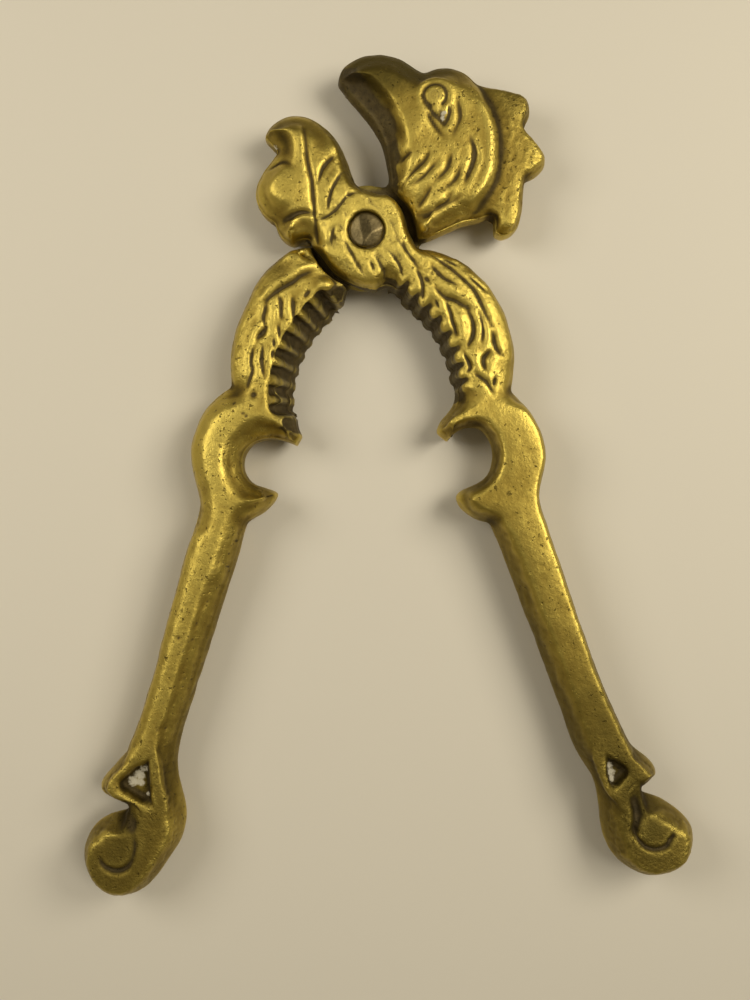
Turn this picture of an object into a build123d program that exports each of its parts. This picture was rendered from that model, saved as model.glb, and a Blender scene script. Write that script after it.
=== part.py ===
from build123d import *
import os

os.makedirs("parts", exist_ok=True)

# An old cast-brass nutcracker lying open, in millimetres. Two levers cross at one rivet:
# their upper ends are the two halves of a bird's head, and below the rivet they are
# toothed jaws, small C-shaped jaws, handles and scrolls.
# The origin is on the rivet's axis at the underside. +Z is up, through the thickness,
# and +Y points to the head. The outlines are those of the mould's parting plane.

# ---- thickness ----
thickness = 12.0            # both levers, face to face
parting = thickness / 2     # half-lap plane of the joint

# ---- lap joint and rivet ----
lap_gap = 0.12              # air between the two half-thickness bosses
lower_boss_radius = 9.9     # rear lever's half of the joint
boss_clearance = 0.35       # between the lower boss and the front lever round it
head_pocket_radius = 8.9    # rear lever's full thickness begins here on the head's side
jaw_pocket_radius = 10.2    # and here on the jaw's side
rivet_radius = 3.15
rivet_running_fit = 0.05    # radial, in the rear lever, which turns on the rivet
rivet_recess = 0.35         # the front end lies this far below the boss's face
rivet_front_chamfer = 0.25
tail_radius = 4.4           # peened tail, flush in a countersink at the back
tail_depth = 1.3
tail_clearance = 0.12

# ---- teeth: V gaps cut through the jaws' inner edges ----
tooth_gaps = 8              # on each jaw
gap_depth = 1.1
gap_width = 2.0
gap_slope = (gap_depth ** 2 + (gap_width / 2) ** 2) ** 0.5

# ---- triangular recess beside each scroll ----
recess_depth = 2.2

# ---- corners that two stretches of an outline share ----
hook_tip = (-18.5, 17.4)
neck_right = (-1.7, 9.3)
neck_left = (-9.6, -0.9)
front_jaw_start = (10.3, -2.3)
front_jaw_end = (26.2, -28.0)
front_jaw_top = (4.3, -9.6)
front_jaw_foot = (15.9, -29.0)
front_prong = (14.6, -37.5)
front_lip = (16.1, -47.3)
front_handle_top = (22.2, -52.0)
front_barb = (47.5, -91.3)
front_horn = (52.6, -97.5)
front_crotch = (49.1, -100.6)

beak_tip = (-5.5, 27.3)
head_heel = (4.05, 7.9)
brow_dip = (10.3, 29.0)
crown_back = (19.9, 27.2)
chin = (8.85, -0.9)
rear_jaw_start = (-10.0, -2.0)
rear_jaw_end = (-24.3, -27.5)
rear_jaw_top = (-4.2, -12.6)
rear_jaw_foot = (-12.5, -33.0)
rear_prong = (-12.6, -38.0)
rear_lip = (-15.9, -46.6)
rear_handle_top = (-21.6, -51.9)
rear_barb = (-43.4, -93.3)
rear_crotch = (-42.4, -103.9)


def tooth_gap_places(line, inset=0.03):
    """Planes along a jaw's inner edge, X along the edge, for evenly spaced gaps."""
    for i in range(tooth_gaps):
        at = inset + (1 - 2 * inset) * (i + 0.5) / tooth_gaps
        along = line % at
        yield Plane(origin=line @ at, x_dir=along, z_dir=(0, 0, 1))


with BuildPart() as front_lever:
    with BuildSketch():
        with BuildLine():
            Spline(hook_tip, (-16.8, 19.9), (-14.0, 21.3), (-11.0, 21.3), (-8.4, 20.0),
                   (-5.6, 17.7), (-4.1, 15.3), (-3.0, 12.1), neck_right)
            Spline(neck_right, (1.1, 8.1), (4.3, 6.5), (6.5, 3.5), (7.8, -0.6), front_jaw_start)
            Spline(front_jaw_start, (13.3, -2.8), (16.5, -4.4), (20.8, -7.8), (23.9, -12.0),
                   (25.9, -16.9), (26.7, -21.7), front_jaw_end)
            Spline(front_jaw_end, (28.7, -30.7), (31.3, -34.7), (32.5, -40.0), (31.9, -43.7),
                   (31.3, -46.9), (32.5, -51.8), (35.8, -61.3), (39.2, -71.5), (42.8, -81.2),
                   front_barb)
            Spline(front_barb, (49.5, -93.3), (51.7, -95.1), front_horn)
            Line(front_horn, front_crotch)
            Spline(front_crotch, (52.4, -101.4), (56.3, -103.7), (59.1, -107.4), (59.1, -110.1),
                   (57.0, -113.9), (54.0, -115.4), (50.7, -115.8), (47.1, -114.4),
                   (43.7, -110.6), (42.2, -106.0), (41.1, -98.7), (38.4, -94.2), (35.9, -88.0),
                   (32.7, -79.3), (28.9, -69.1), (25.7, -60.6), front_handle_top)
            Spline(front_handle_top, (18.5, -50.7), (16.6, -48.7), front_lip)
            Spline(front_lip, (17.2, -46.0), (19.2, -45.2), (21.5, -43.7), (22.8, -40.0),
                   (22.0, -36.7), (20.2, -34.9), (16.9, -35.2), front_prong)
            Line(front_prong, (12.4, -35.7))
            Spline((12.4, -35.7), (13.1, -33.9), (14.5, -32.2), front_jaw_foot)
            front_edge = Spline(front_jaw_foot, (15.3, -25.6), (14.6, -22.8), (13.4, -19.8),
                                (11.8, -17.2), (9.6, -14.7), (7.1, -12.2), front_jaw_top)
            Spline(front_jaw_top, (1.5, -9.3), (-2.6, -8.2), (-5.8, -6.0), (-8.0, -3.2), neck_left)
            Spline(neck_left, (-11.6, -1.0), (-13.2, -1.8))
            Spline((-13.2, -1.8), (-14.6, -1.2), (-15.9, 0.3), (-16.5, 2.0))
            Spline((-16.5, 2.0), (-18.4, 3.4), (-19.9, 6.0), (-20.0, 8.0), (-19.0, 10.6),
                   (-17.1, 13.3), (-16.0, 14.8))
            Line((-16.0, 14.8), hook_tip)
        make_face()
    extrude(amount=thickness)
    with BuildSketch():  # room for the lower boss, under the upper one
        Circle(lower_boss_radius + boss_clearance)
    extrude(amount=parting + lap_gap / 2, mode=Mode.SUBTRACT)
    with BuildSketch(*tooth_gap_places(front_edge)):
        Triangle(a=gap_width, b=gap_slope, c=gap_slope, rotation=180)
    extrude(amount=thickness, mode=Mode.SUBTRACT)
    with BuildSketch(Plane.XY.offset(thickness), Plane.XY.offset(recess_depth)):
        with BuildLine():
            Polyline((42.8, -93.6), (46.2, -95.8), (43.6, -98.6), close=True)
        make_face()
    extrude(amount=-recess_depth, mode=Mode.SUBTRACT)
    Hole(rivet_radius)
front_lever.part.label = "front_lever"
export_step(front_lever.part, "parts/front_lever.step")


with BuildPart() as rear_lever:
    with BuildSketch():
        with BuildLine():
            Spline(rear_jaw_start, (-13.6, -2.6), (-16.1, -4.4), (-19.4, -7.9), (-21.8, -12.5),
                   (-24.0, -18.3), (-24.6, -23.5), rear_jaw_end)
            Spline(rear_jaw_end, (-27.2, -29.4), (-30.3, -33.6), (-31.8, -39.5), (-31.1, -44.0),
                   (-30.2, -47.5), (-31.6, -54.0), (-34.1, -62.4), (-36.9, -73.0),
                   (-40.0, -84.0), rear_barb)
            Spline(rear_barb, (-46.3, -96.2), (-48.2, -100.2), (-46.0, -101.8), rear_crotch)
            Spline(rear_crotch, (-45.8, -104.4), (-49.6, -106.8), (-51.4, -111.8),
                   (-50.1, -115.9), (-47.1, -118.8), (-44.0, -119.5), (-40.0, -118.1),
                   (-36.3, -113.6), (-33.3, -108.6), (-32.6, -104.2), (-34.2, -96.4),
                   (-32.3, -86.4), (-28.7, -74.9), (-25.1, -63.8), rear_handle_top)
            Spline(rear_handle_top, (-18.7, -50.2), (-16.7, -48.2), rear_lip)
            Spline(rear_lip, (-18.5, -45.6), (-20.8, -44.6), (-22.3, -41.3), (-21.6, -38.9),
                   (-19.4, -37.2), (-16.1, -36.9), rear_prong)
            Line(rear_prong, (-11.5, -36.3))
            Spline((-11.5, -36.3), (-12.3, -34.8), rear_jaw_foot)
            rear_edge = Spline(rear_jaw_foot, (-13.2, -30.5), (-13.2, -27.2), (-12.4, -23.8),
                               (-11.0, -20.4), (-9.0, -17.5), (-6.8, -14.9), rear_jaw_top)
            Polyline(rear_jaw_top, (-3.0, -7.5), (-7.5, -2.0), rear_jaw_start)
        make_face()
    extrude(amount=thickness)
    with BuildSketch(Plane.XY.offset(parting - lap_gap / 2)):  # room for the upper boss
        Circle(jaw_pocket_radius)
    extrude(amount=thickness, mode=Mode.SUBTRACT)
    with BuildSketch():
        with BuildLine():
            Spline(beak_tip, (-4.9, 29.3), (-2.4, 31.4), (1.0, 32.5), (4.7, 32.2), (8.1, 30.5),
                   brow_dip)
            Spline(brow_dip, (13.1, 30.1), (16.2, 29.8), crown_back)
            Line(crown_back, (28.0, 25.3))
            Spline((28.0, 25.3), (29.3, 23.8), (28.3, 19.4))
            Spline((28.3, 19.4), (31.2, 16.1), (32.4, 13.0), (31.4, 11.5), (28.6, 10.1))
            Spline((28.6, 10.1), (28.2, 4.8), (27.3, 1.4), (24.4, -0.6))
            Polyline((24.4, -0.6), (22.9, 0.2), (23.0, 3.7))
            Spline((23.0, 3.7), (20.6, 2.8), (18.2, 2.1))
            Spline((18.2, 2.1), (14.7, 0.7), (12.0, -0.6), (10.3, -1.2), chin)
            RadiusArc(chin, head_heel, -head_pocket_radius)
            Spline(head_heel, (3.7, 12.0), (2.4, 16.6), (0.5, 19.9), (-2.7, 23.7), beak_tip)
        make_face()
    extrude(amount=thickness)
    with BuildSketch():
        Circle(lower_boss_radius)
    extrude(amount=parting - lap_gap / 2)
    with BuildSketch(*tooth_gap_places(rear_edge)):
        Triangle(a=gap_width, b=gap_slope, c=gap_slope, rotation=180)
    extrude(amount=thickness, mode=Mode.SUBTRACT)
    with BuildSketch(Plane.XY.offset(thickness), Plane.XY.offset(recess_depth)):
        with BuildLine():
            Polyline((-39.6, -94.8), (-43.6, -98.4), (-38.6, -101.4), close=True)
        make_face()
    extrude(amount=-recess_depth, mode=Mode.SUBTRACT)
    with BuildSketch(Plane.XZ):
        with BuildLine():
            Polyline((0, 0), (tail_radius + tail_clearance, 0),
                     (rivet_radius + rivet_running_fit, tail_depth + tail_clearance),
                     (rivet_radius + rivet_running_fit, parting), (0, parting), close=True)
        make_face()
    revolve(axis=Axis.Z, mode=Mode.SUBTRACT)
rear_lever.part.label = "rear_lever"
export_step(rear_lever.part, "parts/rear_lever.step")

with BuildPart() as pivot_rivet:
    with BuildSketch(Plane.XZ):
        with BuildLine():
            Polyline((0, 0), (tail_radius, 0), (rivet_radius, tail_depth),
                     (rivet_radius, thickness - rivet_recess - rivet_front_chamfer),
                     (rivet_radius - rivet_front_chamfer, thickness - rivet_recess),
                     (0, thickness - rivet_recess), close=True)
        make_face()
    revolve(axis=Axis.Z)
pivot_rivet.part.label = "pivot_rivet"
export_step(pivot_rivet.part, "parts/pivot_rivet.step")
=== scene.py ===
import bpy
import bmesh
import numpy as np
from bpy.props import FloatProperty, FloatVectorProperty, PointerProperty
from bpy.types import Operator, Panel, PropertyGroup
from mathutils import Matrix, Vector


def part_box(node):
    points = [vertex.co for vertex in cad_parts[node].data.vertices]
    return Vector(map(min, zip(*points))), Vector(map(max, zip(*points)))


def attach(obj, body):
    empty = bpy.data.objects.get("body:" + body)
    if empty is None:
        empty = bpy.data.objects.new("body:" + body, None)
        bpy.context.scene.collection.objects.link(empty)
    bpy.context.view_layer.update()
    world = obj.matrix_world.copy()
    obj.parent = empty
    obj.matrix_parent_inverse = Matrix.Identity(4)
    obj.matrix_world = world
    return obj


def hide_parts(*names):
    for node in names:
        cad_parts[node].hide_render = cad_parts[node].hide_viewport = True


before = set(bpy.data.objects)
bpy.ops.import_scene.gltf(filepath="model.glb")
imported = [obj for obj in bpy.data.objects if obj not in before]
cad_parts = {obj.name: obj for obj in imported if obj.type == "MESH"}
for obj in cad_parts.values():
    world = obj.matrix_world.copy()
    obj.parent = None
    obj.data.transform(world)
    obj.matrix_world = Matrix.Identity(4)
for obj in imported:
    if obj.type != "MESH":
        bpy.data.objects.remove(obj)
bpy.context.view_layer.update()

bl_info = {
    "name": "Bird's-head nutcracker",
    "version": (1, 0, 0),
    "blender": (4, 5, 0),
    "location": "View3D > Sidebar > Nutcracker",
    "description": "Cast and chased brass levers, rivet and stage of a nutcracker",
    "category": "Add Mesh",
}

MM = 0.001
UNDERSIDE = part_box("rear_lever")[0][2] / MM
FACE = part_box("rear_lever")[1][2] / MM
PARTING = (UNDERSIDE + FACE) / 2
RIVET_RADIUS = 3.15
TOOTH_GAPS = 8
TOOTH_INSET = 0.03      # share of a tooth line left plain at each end

# Tooth lines of the two jaws, where the bottom of the toothed wall stands, in millimetres.
FRONT_TEETH = [(15.9, -29.0), (15.3, -25.6), (14.6, -22.8), (13.4, -19.8), (11.8, -17.2),
               (9.6, -14.7), (7.1, -12.2), (4.3, -9.6)]
REAR_TEETH = [(-12.5, -33.0), (-13.2, -30.5), (-13.2, -27.2), (-12.4, -23.8), (-11.0, -20.4),
              (-9.0, -17.5), (-6.8, -14.9), (-4.2, -12.6)]

# Corners of the triangular recess beside each scroll.
RECESSES = {
    "front_lever": np.array([(42.8, -93.6), (46.2, -95.8), (43.6, -98.6), (42.8, -93.6)]),
    "rear_lever": np.array([(-39.6, -94.8), (-43.6, -98.4), (-38.6, -101.4), (-39.6, -94.8)]),
}


# ---- settings

class NutcrackerSizes(PropertyGroup):
    front_grain: FloatProperty(name="Front skin", description="Spacing of the front casting's skin",
                               default=0.318 * MM, subtype="DISTANCE", unit="LENGTH")
    rear_grain: FloatProperty(name="Rear skin", description="Spacing of the rear casting's skin",
                              default=0.351 * MM, subtype="DISTANCE", unit="LENGTH")
    lean: FloatProperty(name="Side lean", default=2.2 * MM, subtype="DISTANCE", unit="LENGTH",
                        description="How far each face lies inside the parting line")
    rear_tooth_lean: FloatProperty(name="Rear tooth lean", default=3.0 * MM, unit="LENGTH",
                                   description="How far the rear toothed wall slopes")
    front_tooth_lean: FloatProperty(name="Front tooth lean", default=1.1 * MM, unit="LENGTH",
                                    description="How far the front toothed wall slopes")
    camera_height: FloatProperty(name="Camera height", description="Above the parting line",
                                 default=195 * MM, subtype="DISTANCE", unit="LENGTH")
    lens: FloatProperty(name="Lens", description="Focal length", default=38.6, min=1, unit="CAMERA")


class NutcrackerColours(PropertyGroup):
    # Also taken by the painted highlight patches.
    gold: FloatVectorProperty(name="Rubbed brass", description="High, handled places", size=3,
                              subtype="COLOR", default=(0.56, 0.435, 0.092))
    bronze: FloatVectorProperty(name="Dull brass", description="Most of the casting", size=3,
                                subtype="COLOR", default=(0.27, 0.19, 0.034))
    # Also the colour that the painted shade patches take.
    olive: FloatVectorProperty(name="Dull places", description="Never rubbed, olive brown",
                               size=3, subtype="COLOR", default=(0.115, 0.088, 0.020))
    # Also the colour of the painted shade on walls, in tooth gaps, in the mouth and between the
    # levers.
    patina: FloatVectorProperty(name="Patina", description="Recesses and pits", size=3,
                                subtype="COLOR", default=(0.040, 0.028, 0.009))
    polish: FloatVectorProperty(name="Dried polish", description="Left in the deepest corners",
                                size=3, subtype="COLOR", default=(0.50, 0.46, 0.34))
    steel: FloatVectorProperty(name="Rivet", description="Dark rivet metal", size=3,
                               subtype="COLOR", default=(0.085, 0.066, 0.03))
    cloth: FloatVectorProperty(name="Floor", description="Pale plain floor", size=3,
                               subtype="COLOR", default=(0.66, 0.62, 0.52))


# ---- mesh helpers

def select_only(obj):
    bpy.ops.object.select_all(action="DESELECT")
    obj.select_set(True)
    bpy.context.view_layer.objects.active = obj


def apply_modifier(obj, kind, **settings):
    """Add a modifier, set it up and apply it."""
    select_only(obj)
    modifier = obj.modifiers.new(kind.title(), kind)
    for name, value in settings.items():
        setattr(modifier, name, value)
    bpy.ops.object.modifier_apply(modifier=modifier.name)


def copy_of_node(node, name):
    """A new object with the node's mesh, its doubles merged."""
    obj = bpy.data.objects.new(name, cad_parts[node].data.copy())
    bpy.context.scene.collection.objects.link(obj)
    obj.data.materials.clear()
    select_only(obj)
    bpy.ops.object.mode_set(mode="EDIT")
    bpy.ops.mesh.select_all(action="SELECT")
    bpy.ops.mesh.remove_doubles(threshold=0.002 * MM)
    bpy.ops.object.mode_set(mode="OBJECT")
    return obj


def points_of(mesh):
    out = np.empty(len(mesh.vertices) * 3, dtype=np.float64)
    mesh.vertices.foreach_get("co", out)
    return out.reshape(-1, 3) / MM


def put_points(mesh, points):
    mesh.vertices.foreach_set("co", (points * MM).ravel())
    mesh.update()


def normals_of(mesh):
    out = np.empty(len(mesh.vertices) * 3, dtype=np.float32)
    mesh.vertex_normals.foreach_get("vector", out)
    return out.reshape(-1, 3).astype(np.float64)


def edges_of(mesh):
    out = np.empty(len(mesh.edges) * 2, dtype=np.int32)
    mesh.edges.foreach_get("vertices", out)
    return out.reshape(-1, 2)


def spread(values, edges, times):
    """Average values over neighbouring points, several times."""
    count = len(values)
    a, b = edges[:, 0], edges[:, 1]
    share = np.maximum(np.bincount(a, minlength=count) + np.bincount(b, minlength=count), 1)
    out = values.astype(np.float64).copy()
    for column in (out,) if out.ndim == 1 else out.T:
        for _ in range(times):
            near = np.bincount(a, column[b], count) + np.bincount(b, column[a], count)
            column[:] = 0.5 * column + 0.5 * near / share
    return out


def smoothstep(low, high, x):
    t = np.clip((x - low) / (high - low), 0, 1)
    return t * t * (3 - 2 * t)


def distance_to_line(points, line):
    """How far points lie in the plan from an open line of straight runs.

    Gives the distance, the place along the line from 0 to 1, 1 left of the line or -1 right
    of it, and the line's left-hand normal there.
    """
    line = np.asarray(line, dtype=np.float64)
    best = np.full(len(points), 1e9)
    along = np.zeros(len(points))
    side = np.ones(len(points))
    left = np.zeros((len(points), 2))
    run = 0.0
    for p, q in zip(line[:-1], line[1:]):
        d = q - p
        size = np.hypot(*d)
        t = np.clip(((points - p) @ d) / (size * size), 0, 1)
        off = points - p - t[:, None] * d
        gap = np.hypot(*off.T)
        nearer = gap < best
        best[nearer] = gap[nearer]
        along[nearer] = run + t[nearer] * size
        side[nearer] = np.sign(d[0] * off[nearer, 1] - d[1] * off[nearer, 0] + 1e-12)
        left[nearer] = (-d[1] / size, d[0] / size)
        run += size
    return best, along / run, side, left


def oval(points, centre, radii, turn):
    """Squared distance from the centre of a turned oval, 1 on its edge."""
    c, s = np.cos(np.radians(turn)), np.sin(np.radians(turn))
    d = points[:, :2] - np.asarray(centre)
    u = (d[:, 0] * c + d[:, 1] * s) / radii[0]
    v = (-d[:, 0] * s + d[:, 1] * c) / radii[1]
    return u * u + v * v


def curve(points, steps=8):
    """A smooth line through a few points (Catmull-Rom)."""
    p = np.asarray(points, dtype=np.float64)
    if len(p) < 3:
        return p
    p = np.vstack([2 * p[0] - p[1], p, 2 * p[-1] - p[-2]])
    out = []
    for a, b, c, d in zip(p[:-3], p[1:-2], p[2:-1], p[3:]):
        for t in np.arange(steps) / steps:
            out.append(0.5 * (2 * b + (c - a) * t + (2 * a - 5 * b + 4 * c - d) * t ** 2
                              + (3 * b - a - 3 * c + d) * t ** 3))
    out.append(p[-2])
    return np.array(out)


# ---- casting draft

class Rim:
    """Evenly spaced places round one face of a casting.

    Each has the way into the metal and the metal's half width there.
    """

    def __init__(self, mesh, z_face, up, spacing=0.5):
        bm = bmesh.new()
        bm.from_mesh(mesh)
        at, way = [], []
        for edge in bm.edges:
            if len(edge.link_faces) != 2:
                continue
            flat = [f for f in edge.link_faces if f.normal.z * up > 0.9]
            wall = [f for f in edge.link_faces if abs(f.normal.z) < 0.5]
            if len(flat) != 1 or len(wall) != 1:
                continue
            a, b = (np.array(v.co) / MM for v in edge.verts)
            if abs(a[2] - z_face) > 0.05 or abs(b[2] - z_face) > 0.05:
                continue
            n = -np.array(wall[0].normal[:2])
            n /= np.hypot(*n)
            count = max(1, int(round(np.hypot(*(b - a)[:2]) / spacing)))
            for k in range(count):
                t = (k + 0.5) / count
                at.append(a[:2] * (1 - t) + b[:2] * t)
                way.append(n)
        bm.free()
        self.at = np.array(at)
        self.way = np.array(way)
        self.half_width = self.measure()

    def nearest(self, points):
        index = np.empty(len(points), dtype=np.int64)
        gap = np.empty(len(points))
        for i in range(0, len(points), 4000):
            block = points[i:i + 4000]
            d2 = ((block[:, None, 0] - self.at[None, :, 0]) ** 2
                  + (block[:, None, 1] - self.at[None, :, 1]) ** 2)
            index[i:i + 4000] = d2.argmin(axis=1)
            gap[i:i + 4000] = np.sqrt(d2.min(axis=1))
        return index, gap

    def measure(self):
        """Step into the metal until the far side is as near as the place started from."""
        width = np.full(len(self.at), 0.3)
        open_ = np.ones(len(self.at), dtype=bool)
        for s in np.arange(0.5, 6.0, 0.25):
            _, gap = self.nearest(self.at + self.way * s)
            open_ &= gap > 0.86 * s - 0.1
            width[open_] = s
        return self.even_out(width, 1.2)

    def general_way(self, toothed):
        """The way into the metal, averaged along the rim and most along the teeth."""
        d2 = ((self.at[:, None] - self.at[None]) ** 2).sum(axis=2)
        alike = self.way @ self.way.T > 0.1
        reach = np.where(toothed, 2.2, 0.8)[:, None]
        weight = np.exp(-d2 / reach ** 2) * alike
        way = weight @ self.way
        return way / np.maximum(np.hypot(*way.T), 1e-6)[:, None]

    def even_out(self, values, reach):
        """Average values over the places within reach of each other."""
        d2 = ((self.at[:, None] - self.at[None]) ** 2).sum(axis=2)
        weight = np.exp(-d2 / reach ** 2)
        return (weight @ values) / weight.sum(axis=1)


def lean_castings(points, rim, up, lean_face, lean_parting, round_share):
    """Move one half's points in, so that its walls lean or round over like a sand casting's."""
    half = (points[:, 2] - PARTING) * up > 0
    where = np.nonzero(half)[0]
    plan = points[where, :2]
    index, gap = rim.nearest(plan)
    t = np.abs(points[where, 2] - PARTING) / (FACE - PARTING)
    r = round_share[index]
    profile = (1 - r) * (0.8 * t + 0.2 * t ** 8) + r * (1 - np.sqrt(1 - 0.97 * t * t))
    inset = lean_parting[index] + (lean_face[index] - lean_parting[index]) * profile
    room = rim.half_width[index]
    inset = np.minimum(inset, 0.72 * room)
    reach = np.minimum(np.maximum(2.4 * inset, 1.0), np.maximum(room, 0.4))
    share = np.clip(1 - gap / reach, 0, 1)
    plan += rim.way[index] * (inset * share)[:, None]
    points[where, :2] = plan
    return where, gap, index


def lean_teeth(points, line, metal_side, lean, saw, reach=5.2):
    """Slope the toothed wall back from the underside to the face, and deepen its gaps there.

    metal_side is 1 where the metal lies left of the line, and -1 where it lies right.
    Gives how deep in a gap each point lies, from 0 to 1.
    """
    gap, along, side, left = distance_to_line(points[:, :2], line)
    into = side * gap * metal_side
    share = np.clip(1 - np.maximum(into, 0) / reach, 0, 1) * (gap < reach)
    share *= smoothstep(0, 0.10, along) * (1 - smoothstep(0.90, 1, along))
    height = np.clip((points[:, 2] - UNDERSIDE) / (FACE - UNDERSIDE), 0, 1)
    phase = ((along - TOOTH_INSET) / (1 - 2 * TOOTH_INSET) * TOOTH_GAPS + 0.12 * height) % 1
    notch = np.minimum(smoothstep(0.0, 0.72, phase), 1 - smoothstep(0.72, 0.98, phase))
    near = np.clip(1 - np.maximum(into, 0) / (0.5 * reach), 0, 1)
    amount = lean * height * share + saw * notch * height ** 1.5 * near * (share > 0)
    points[:, :2] += left * (metal_side * amount)[:, None]
    return notch * np.minimum(3 * share, 1) * smoothstep(2.5, 0.5, np.abs(into))


# ---- chasing tools

class Chaser:
    """Cuts and raises relief on both faces of a casting, like a chasing punch.

    Lines are in millimetres in the plan. Depths are along the surface's own normal.
    """

    def __init__(self, obj):
        self.obj = obj
        self.points = points_of(obj.data)
        self.edges = edges_of(obj.data)
        self.normals = normals_of(obj.data)
        # Darkening for the finish: patina in cuts and pits, and painted shade in gaps, hollows and
        # on shaded walls.
        self.patina_and_shade = np.zeros(len(self.points))
        self.polish = np.zeros(len(self.points))
        # Darker or lighter patches, partly dull unrubbed brass, partly painted shade and painted
        # highlight.
        self.dull = np.zeros(len(self.points))
        self.roughness = lambda x, y: np.zeros_like(x)
        self.sign = np.sign(self.points[:, 2] - PARTING)
        self.outer = smoothstep(2.0, 3.2, np.abs(self.points[:, 2] - PARTING))
        self.facing = smoothstep(0.10, 0.55, np.abs(self.normals[:, 2])) * self.outer
        # Painted shade near the parting line round the pivot, where one lever's boss lies under the
        # other.
        radius = np.hypot(self.points[:, 0], self.points[:, 1])
        inside = (1 - smoothstep(1.6, 2.4, np.abs(self.points[:, 2] - PARTING)))
        self.patina_and_shade = np.maximum(self.patina_and_shade, 0.95 * inside * (1 - smoothstep(10.4, 11.2, radius)))

    def near(self, line, reach):
        line = np.asarray(line)
        low, high = line.min(axis=0) - reach, line.max(axis=0) + reach
        p = self.points
        inside = ((p[:, 0] > low[0]) & (p[:, 0] < high[0]) & (p[:, 1] > low[1])
                  & (p[:, 1] < high[1]) & (self.facing > 0))
        return np.nonzero(inside)[0]

    def move(self, where, height):
        """Raise or sink points along their normals."""
        self.points[where] += self.normals[where] * (height * self.facing[where])[:, None]

    def groove(self, line, depth, width, patina_and_shade=1.0, taper=True, slope=1.0):
        """A cut along a line; slope is how much gentler its left side is than its right."""
        line = curve(line)
        where = self.near(line, width * max(slope, 1) * 2.5)
        gap, along, side, _ = distance_to_line(self.points[where, :2], line)
        spread_out = np.where(side > 0, width * slope, width)
        shape = np.exp(-(gap / spread_out) ** 2)
        fade = np.ones(len(where))
        if taper:
            fade = 0.25 + 0.75 * np.sin(np.pi * np.clip(along, 0.02, 0.98)) ** 0.6
        self.move(where, -depth * shape * fade)
        if depth > 0:
            deep = np.exp(-(gap / max(0.7 * width, 0.30)) ** 2) * fade
            self.patina_and_shade[where] = np.maximum(self.patina_and_shade[where], patina_and_shade * deep)

    def jaw_cuts(self, strokes):
        for line, depth, width in strokes:
            self.groove(line, depth * 0.9, width * 0.68, slope=1.8)
        self.refresh()

    def ridge(self, line, height, width, taper=True):
        self.groove(line, -height, width, taper=taper)

    def paint_shade_band(self, line, width, amount):
        """Painted shade in a band along a line, on the walls as well."""
        gap = distance_to_line(self.points[:, :2], curve(line))[0]
        band = amount * (1 - smoothstep(0.75 * width, 1.1 * width, gap))
        self.patina_and_shade = np.maximum(self.patina_and_shade, band)

    def lobe(self, centre, radii, turn, height):
        """A rounded swelling, or a hollow where height is negative."""
        where = self.near([centre], max(radii) * 1.6)
        self.move(where, height * np.exp(-oval(self.points[where], centre, radii, turn) * 1.6))

    def thin(self, drop):
        """Bring both faces towards the parting line by a drop in millimetres at each point."""
        depth = self.points[:, 2] - PARTING
        self.points[:, 2] = PARTING + depth * (1 - drop * self.outer / (FACE - PARTING))

    def tuck(self, tips, drop, back, reach):
        """Round tips off: their faces come down and draw back the given way into the metal."""
        for x, y, way_x, way_y in tips:
            share = np.exp(-(np.hypot(self.points[:, 0] - x, self.points[:, 1] - y) / reach) ** 2)
            high = np.abs(self.points[:, 2] - PARTING) / (FACE - PARTING)
            self.points[:, :2] += np.outer(back * share * high ** 2, (way_x, way_y))
            self.thin(drop * share)

    def step(self, line, drop, blend, reach):
        """Everything to the right of a line, within reach of it, lies lower, with a painted shadow
        along the foot of the step.
        """
        gap, _, side, _ = distance_to_line(self.points[:, :2], curve(line))
        signed = -side * gap
        fade = 1 - smoothstep(reach * 0.75, reach, gap)
        self.thin(drop * smoothstep(-blend, blend, signed) * fade)
        # Painted shadow along the foot of the step.
        foot = np.exp(-((signed - blend) / blend) ** 2) * fade * self.facing
        self.patina_and_shade = np.maximum(self.patina_and_shade, 0.6 * foot)

    def refresh(self, smooth=0):
        """Take the changed shape's normals before more work is done on it."""
        if smooth:
            keep = self.crisp[:, None]
            self.points = (keep * spread(self.points, self.edges, 1)
                           + (1 - keep) * spread(self.points, self.edges, smooth))
        put_points(self.obj.data, self.points)
        self.normals = normals_of(self.obj.data)

    def waves(self, size, longest, count, seed):
        """The sum of crossing waves about size millimetres long, at each point."""
        rng = np.random.default_rng(seed)
        height = np.zeros(len(self.points))
        for _ in range(count):
            way = rng.normal(size=3)
            way /= np.linalg.norm(way)
            wave = size * rng.uniform(0.6, longest)
            height += np.sin(self.points @ way * (2 * np.pi / wave) + rng.uniform(0, 6.28))
        return height

    def lumps(self, amount, size, seed):
        """Low, uneven swellings of a hand-finished casting."""
        height = self.waves(size, 1.6, 14, seed)
        self.points += self.normals * (amount * height / 3.7)[:, None]

    def hammer(self, amount, size, seed):
        """Short uneven dents where the casting is rough."""
        height = self.waves(size, 1.5, 16, seed)
        rough = np.clip(self.roughness(self.points[:, 0], self.points[:, 1]), 0, 1)
        height = np.sign(height) * np.abs(height / 3.0) ** 1.5
        self.points += self.normals * (amount * height * rough * self.outer)[:, None]

    def pits(self, centres, radius, depth):
        """Small round casting pits."""
        for x, y in centres:
            where = self.near([(x, y)], radius * 2)
            gap = np.hypot(self.points[where, 0] - x, self.points[where, 1] - y)
            shape = np.exp(-(gap / radius) ** 2)
            self.move(where, -depth * shape)
            self.patina_and_shade[where] = np.maximum(self.patina_and_shade[where], 0.85 * shape ** 2)

    def paint_dull_shade_and_highlight(self, *places):
        """Darker patches, or with a negative amount lighter ones: partly brass never rubbed that
        stays dull, partly painted shade on places turned from the light and painted highlight on
        lit places.
        """
        for centre, radii, turn, amount in places:
            self.dull += amount * np.exp(-oval(self.points, centre, radii, turn))

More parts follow.
